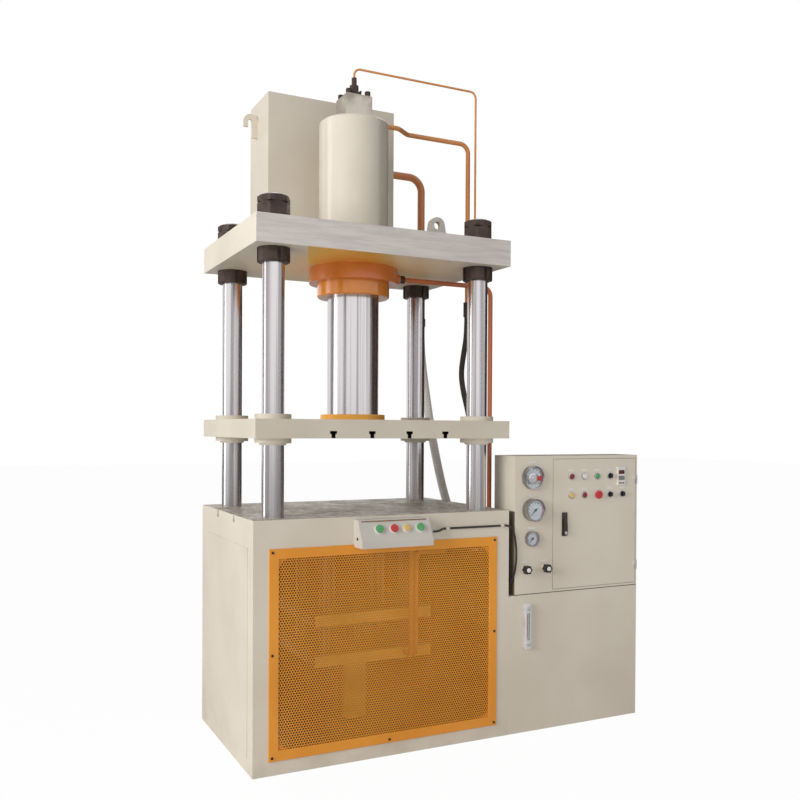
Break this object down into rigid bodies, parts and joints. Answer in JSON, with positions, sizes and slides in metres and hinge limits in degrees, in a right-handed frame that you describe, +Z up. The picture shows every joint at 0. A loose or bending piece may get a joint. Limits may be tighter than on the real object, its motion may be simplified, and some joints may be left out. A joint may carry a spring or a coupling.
{
  "type": "four-column hydraulic press",
  "caption": "Upright hydraulic press with a slotted table and platen on round columns, a ram from the crown, an ejector in the base, an oil unit and a control cabinet beside it.",
  "frame": {"origin": "on the floor under the axis of the main cylinder", "axes": "+Z up, -Y to the front with the guard, +X to the control cabinet"},
  "size_m": [1.9, 1.018, 2.994],
  "materials": {
    "cream_paint": "smooth satin paint",
    "orange_paint": "smooth satin paint",
    "black_steel": "blackened steel",
    "ground_steel": "hard chromed and ground",
    "machined_steel": "machined",
    "bronze": "turned bronze",
    "grey_hose": "matte",
    "black_hose": "matte",
    "black_plastic": "fine matte",
    "box_grey": "smooth satin paint",
    "white_plastic": "gloss",
    "green_plastic": "gloss",
    "yellow_plastic": "gloss",
    "red_plastic": "gloss",
    "lens_glass": "clear",
    "gauge_case": "black enamel",
    "motor_paint": "smooth satin paint"
  },
  "bodies": {
    "frame": {"base_frame": "cream_paint", "table_slab": "machined_steel", "guard_panel": "orange_paint", "columns": "ground_steel", "column_nuts": "black_steel", "crown_plate": "cream_paint", "main_cylinder": "cream_paint", "cylinder_ring_nut": "orange_paint", "cylinder_gland": "cream_paint", "valve_block": "machined_steel", "filler_tank": "cream_paint", "pilot_pipe": "orange_paint", "pressure_pipe": "orange_paint", "gland_pipe": "orange_paint", "tank_pipe": "orange_paint", "pressure_hose": "black_hose", "return_hose": "grey_hose", "hydraulic_fittings": "black_steel", "ejector_fixed_plate": "cream_paint", "ejector_tie_rods": "ground_steel", "ejector_cylinder": "cream_paint", "ejector_pipes": "orange_paint", "reservoir_tank": "cream_paint", "pump_motor": "motor_paint", "valve_manifold": "machined_steel", "control_cabinet": "cream_paint", "gauge_cases": "gauge_case", "gauge_lenses": "lens_glass", "level_gauge": "machined_steel", "button_box": "box_grey", "box_lead": "black_hose"},
    "slide": {"platen": "cream_paint", "ram": "ground_steel", "ram_flange": "cream_paint", "guide_bushes": "bronze"},
    "ejector": {"ejector_plate": "cream_paint", "ejector_piston_rod": "ground_steel", "ejector_pins": "ground_steel"},
    "door": {"control_door": "cream_paint", "signal_lamp": "red_plastic", "counter_meter": "black_plastic", "lock_plate": "black_plastic"},
    "lock_lever": {"lock_lever": "black_plastic"},
    "white_button": {"white_button": "white_plastic"},
    "green_button": {"green_button": "green_plastic"},
    "yellow_button": {"yellow_button": "yellow_plastic"},
    "red_button": {"red_button": "red_plastic"},
    "emergency_stop": {"emergency_stop": "red_plastic"},
    "selector_upper": {"selector_upper": "black_plastic"},
    "selector_middle": {"selector_middle": "black_plastic"},
    "selector_right": {"selector_right": "black_plastic"},
    "box_green_left": {"box_green_left": "green_plastic"},
    "box_red": {"box_red": "red_plastic"},
    "box_yellow": {"box_yellow": "yellow_plastic"},
    "box_green_right": {"box_green_right": "green_plastic"},
    "regulator_knob_left": {"regulator_knob_left": "black_plastic"},
    "regulator_knob_right": {"regulator_knob_right": "black_plastic"},
    "contact_needle": {"contact_needle": "black_plastic"},
    "pressure_needle": {"pressure_needle": "black_plastic"},
    "small_needle": {"small_needle": "black_plastic"}
  },
  "joints": [
    {"name": "slide_travel", "type": "slide", "parent": "frame", "child": "slide", "axis": [0, 0, 1], "range_m": [-0.04, 0.46]},
    {"name": "ejector_travel", "type": "slide", "parent": "frame", "child": "ejector", "axis": [0, 0, 1], "range_m": [0, 0.2]},
    {"name": "door_hinge", "type": "hinge", "parent": "frame", "child": "door", "pos_m": [1.305, -0.4043, 0.935], "axis": [0, 0, 1], "range_deg": [0, 120]},
    {"name": "lock_turn", "type": "hinge", "parent": "door", "child": "lock_lever", "pos_m": [0.886, -0.4, 0.886], "axis": [0, -1, 0], "range_deg": [0, 90]},
    {"name": "white_button_press", "type": "slide", "parent": "door", "child": "white_button", "axis": [0, 1, 0], "range_m": [0, 0.004], "stiffness_N_per_m": 600, "springref_m": -0.002},
    {"name": "green_button_press", "type": "slide", "parent": "door", "child": "green_button", "axis": [0, 1, 0], "range_m": [0, 0.004], "stiffness_N_per_m": 600, "springref_m": -0.002},
    {"name": "yellow_button_press", "type": "slide", "parent": "door", "child": "yellow_button", "axis": [0, 1, 0], "range_m": [0, 0.004], "stiffness_N_per_m": 600, "springref_m": -0.002},
    {"name": "red_button_press", "type": "slide", "parent": "door", "child": "red_button", "axis": [0, 1, 0], "range_m": [0, 0.004], "stiffness_N_per_m": 600, "springref_m": -0.002},
    {"name": "emergency_stop_press", "type": "slide", "parent": "door", "child": "emergency_stop", "axis": [0, 1, 0], "range_m": [0, 0.004], "stiffness_N_per_m": 600, "springref_m": -0.002},
    {"name": "selector_upper_turn", "type": "hinge", "parent": "door", "child": "selector_upper", "pos_m": [1.147, -0.4, 1.144], "axis": [0, 1, 0], "range_deg": [-45, 45]},
    {"name": "selector_middle_turn", "type": "hinge", "parent": "door", "child": "selector_middle", "pos_m": [1.147, -0.4, 1.057], "axis": [0, 1, 0], "range_deg": [-45, 45]},
    {"name": "selector_right_turn", "type": "hinge", "parent": "door", "child": "selector_right", "pos_m": [1.221, -0.4, 1.057], "axis": [0, 1, 0], "range_deg": [-45, 45]},
    {"name": "box_green_left_press", "type": "slide", "parent": "frame", "child": "box_green_left", "axis": [0, 0.8862, -0.4633], "range_m": [0, 0.004], "stiffness_N_per_m": 600, "springref_m": -0.002},
    {"name": "box_red_press", "type": "slide", "parent": "frame", "child": "box_red", "axis": [0, 0.8862, -0.4633], "range_m": [0, 0.004], "stiffness_N_per_m": 600, "springref_m": -0.002},
    {"name": "box_yellow_press", "type": "slide", "parent": "frame", "child": "box_yellow", "axis": [0, 0.8862, -0.4633], "range_m": [0, 0.004], "stiffness_N_per_m": 600, "springref_m": -0.002},
    {"name": "box_green_right_press", "type": "slide", "parent": "frame", "child": "box_green_right", "axis": [0, 0.8862, -0.4633], "range_m": [0, 0.004], "stiffness_N_per_m": 600, "springref_m": -0.002},
    {"name": "regulator_knob_left_turn", "type": "hinge", "parent": "frame", "child": "regulator_knob_left", "pos_m": [0.666, -0.42, 0.733], "axis": [0, 1, 0], "range_deg": [0, 330]},
    {"name": "regulator_knob_right_turn", "type": "hinge", "parent": "frame", "child": "regulator_knob_right", "pos_m": [0.775, -0.42, 0.733], "axis": [0, 1, 0], "range_deg": [0, 330]},
    {"name": "contact_needle_turn", "type": "hinge", "parent": "frame", "child": "contact_needle", "pos_m": [0.706, -0.415, 1.143], "axis": [0, 1, 0], "range_deg": [0, 270]},
    {"name": "pressure_needle_turn", "type": "hinge", "parent": "frame", "child": "pressure_needle", "pos_m": [0.706, -0.415, 0.998], "axis": [0, 1, 0], "range_deg": [0, 270]},
    {"name": "small_needle_turn", "type": "hinge", "parent": "frame", "child": "small_needle", "pos_m": [0.706, -0.415, 0.868], "axis": [0, 1, 0], "range_deg": [0, 270]}
  ]
}
